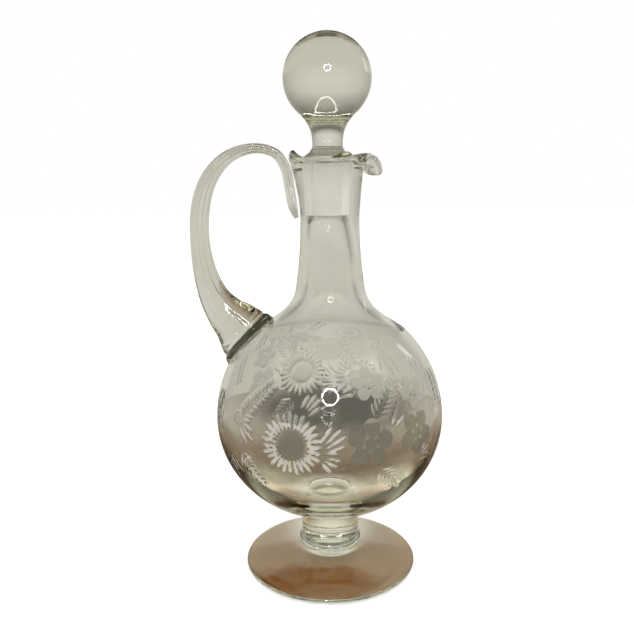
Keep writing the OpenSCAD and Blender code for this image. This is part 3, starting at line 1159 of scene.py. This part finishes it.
outer_line = np.vstack(
    [
        bowl_arc(bowl_r, bowl_drop, -75, 0, 40),
        bowl_arc(bowl_r, bowl_rise, 0, shoulder, 40)[1:],
        outer_shoulder[1:],
        outer_neck,
    ]
)


def share_of_bowl(points):
    """How far out points are: 0 at the bowl's middle and 1 on the surface of its upper half."""
    return np.linalg.norm((points - [0, 0, bowl_mid]) / [bowl_r, bowl_r, bowl_rise], axis=-1)


def rest_on_glass(points):
    """Moves every point that is inside the jug out to its surface: on the bowl away from the bowl's
    middle, on the neck straight away from the axis. Also says which points were moved."""
    off_axis = neck_offset(points[..., 2], waist[1] + 4, mouth[1])
    centre = np.stack([off_axis, 0 * off_axis, 0 * off_axis], axis=-1)
    radius = np.hypot(points[..., 0] - off_axis, points[..., 1])
    middle = points - [0, 0, bowl_mid]
    share = share_of_bowl(points)
    on_bowl = (middle / np.maximum(share, 1e-9)[..., None]) + [0, 0, bowl_mid]
    shell = np.interp(points[..., 2], outer_line[:, 1], outer_line[:, 0])
    out = np.maximum(shell / np.maximum(radius, 1e-9), 1.0)
    on_neck = centre + (points - centre) * np.stack([out, out, np.ones_like(out)], axis=-1)
    low_down = points[..., 2] < shoulder_point[1] + 6
    inside = np.where(low_down, share < 1.0, radius < shell)
    moved = np.where(low_down[..., None], on_bowl, on_neck)
    return np.where(inside[..., None], moved, points), inside


def strap_surface():
    """The strap as a grid: an oval with shallow reeds carried along the strap's middle line."""
    run = through_points(strap, strap_rows)
    along = np.gradient(run[:, :2], axis=0)
    along /= np.linalg.norm(along, axis=1, keepdims=True)
    t = np.linspace(0, 2 * np.pi, strap_sides, endpoint=False)[None, :]
    away = np.linalg.norm(run[:, :2] - run[0, :2], axis=1)[:, None]
    reeding = reed_depth * smooth_step(away, 18.0, 46.0)
    groove = 1 - reeding * np.abs(np.sin(reeds * t / 2)) ** 5
    half_thick = run[:, 2:3] / 2 * groove
    half_wide = run[:, 3:4] / 2 * groove
    x = run[:, 0:1] + along[:, 1:2] * half_thick * np.cos(t)
    z = run[:, 1:2] - along[:, 0:1] * half_thick * np.cos(t)
    strap_line = np.stack([run[:, 0], 0 * run[:, 0], run[:, 1]], axis=-1)[:, None, :]
    points = np.stack([x, half_wide * np.sin(t), z], axis=-1)
    # the pressed band stands out for 3 mm above the bowl, then comes a crease
    above = share_of_bowl(points) * bowl_r - bowl_r
    pressed = 1 + 0.03 * smooth_step(above, 3.4, 2.4) - 0.05 * np.exp(-(((above - 3.9) / 0.8) ** 2))
    pressed = np.where(away < 30, pressed, 1.0)
    return strap_line + (points - strap_line) * pressed[..., None]


def end_cap(ring, rows):
    """Rings that shrink from an end's outline to its middle."""
    middle = ring.mean(axis=0)
    share = np.linspace(1, 0, rows + 1)[1:-1, None, None]
    return middle + (ring[None] - middle) * share, middle


strap_grid = strap_surface()
pad_cap, pad_middle = end_cap(strap_grid[0], 6)
tail_cap, tail_middle = end_cap(strap_grid[-1], 3)
strap_grid = np.concatenate([pad_cap[::-1], strap_grid, tail_cap])
handle_points = np.vstack([strap_grid.reshape(-1, 3), [pad_middle, tail_middle]])
handle_points, sunk = rest_on_glass(handle_points)
handle_index = numbered(strap_grid)
handle_quads = band_faces(handle_index)
handle_triangles = end_faces(handle_index[0], handle_index[-1], handle_index.size)
handle = glass_piece(
    "handle",
    handle_points,
    handle_quads,
    handle_triangles,
    [clear_glass("handle_glass", 70.0, 0.18), seam_material],
    "jug",
    "handle",
    "clear_glass",
)
all_sunk = np.concatenate([sunk[handle_quads].all(axis=1), sunk[handle_triangles].all(axis=1)])
set_faces(handle, all_sunk)

# the jug's own surface under the pad and under the tail is fused away too
pad_mid = np.array([-42.2, 0.0, bowl_mid + 42.8])
pad_long = np.array([0.79, 0.0, 0.61])
pad_away = np.array([-0.61, 0.0, 0.79])
pad_half_length, pad_half_width, pad_depth = 16.0, 9.5, 9
from_pad = centres - pad_mid
under_pad = (
    (np.abs(from_pad @ pad_away) < pad_depth)
    & ((from_pad @ pad_long / pad_half_length) ** 2 + (centres[:, 1] / pad_half_width) ** 2 < 1)
    & (share_of_bowl(centres) > 0.98)
)
tail_heights = [200, 206, 216.5, 226.5, 229]
tail_half = np.interp(centres[:, 2], tail_heights, [0.4, 2.4, 3.4, 3.2, 2.0])
under_tail = (
    (centres[:, 0] < 0)
    & (centres[:, 2] > tail_heights[0])
    & (centres[:, 2] < tail_heights[-1])
    & (np.abs(centres[:, 1]) < tail_half)
    & (reach > 15.5)
)
bowl_slots[under_pad | under_tail] = SEAM
set_faces(bowl, bowl_slots)

# ---------------------------------------------------------------------------
# Stopper: a solid ball on a short shank, with a small collar over the mouth and a
# plug ground into the socket. It is loose and lifts out.
# ---------------------------------------------------------------------------
stopper_low, stopper_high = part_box("stopper")
ball_r = stopper_high[1] / MM
ball_mid = stopper_high[2] / MM - ball_r
plug_low = stopper_low[2] / MM
shank_r = 8.2
slack = 0.05
collar = np.array([12.7, socket_high[1] + 1.6])
neck_ring = socket_high[1] + 6.9
join = -48
join_point = arc([0, ball_mid], ball_r, join, join, 1)[0]
plug_low_r = socket_low[0] + (plug_low - socket_low[1]) / 20 - slack
plug_high_r = socket_high[0] - slack
plug_start = [plug_low_r, plug_low + 1.0]
plug_end = [plug_high_r, socket_high[1]]
stopper_outline = np.vstack(
    [
        [[0, plug_low], [plug_low_r * 0.5, plug_low], [plug_low_r - 0.9, plug_low]],
        [[plug_low_r - 0.35, plug_low + 0.12], [plug_low_r - 0.05, plug_low + 0.5]],
        curve(plug_start, plug_start, plug_end, plug_end, 10),
        curve([plug_high_r + 0.3, socket_high[1] + 0.6], collar - [1.3, 0.9], collar - [0.3, 0.7], collar, 6),
        curve(
            collar + [-0.3, 0.5],
            collar + [-2.1, 1.2],
            [9.0, neck_ring - 2.3],
            [shank_r + 0.15, neck_ring - 0.6],
            8,
        ),
        [[shank_r - 0.05, neck_ring - 0.35], [shank_r - 0.15, neck_ring]],
        curve(
            [shank_r - 0.1, neck_ring + 0.7],
            [shank_r - 0.1, neck_ring + 5.5],
            [shank_r + 0.4, neck_ring + 11.5],
            join_point,
            16,
        ),
        arc([0, ball_mid], ball_r, join, 88, 44)[1:],
        [[0, ball_mid + ball_r]],
    ]
)
stopper = glass_piece(
    "stopper",
    *turned(stopper_outline, 160),
    [
        clear_glass("stopper_glass", 30.0, 0.06),
        ground_glass("ground_plug", 0.5, 0.5, (0.68, 0.67, 0.61)),
    ],
    "stopper",
    "stopper",
    "stopper_glass",
)
centres = face_centres(stopper)
set_faces(stopper, (centres[:, 2] < socket_high[1] - 0.05) & (centres[:, 2] > plug_low + 0.3))
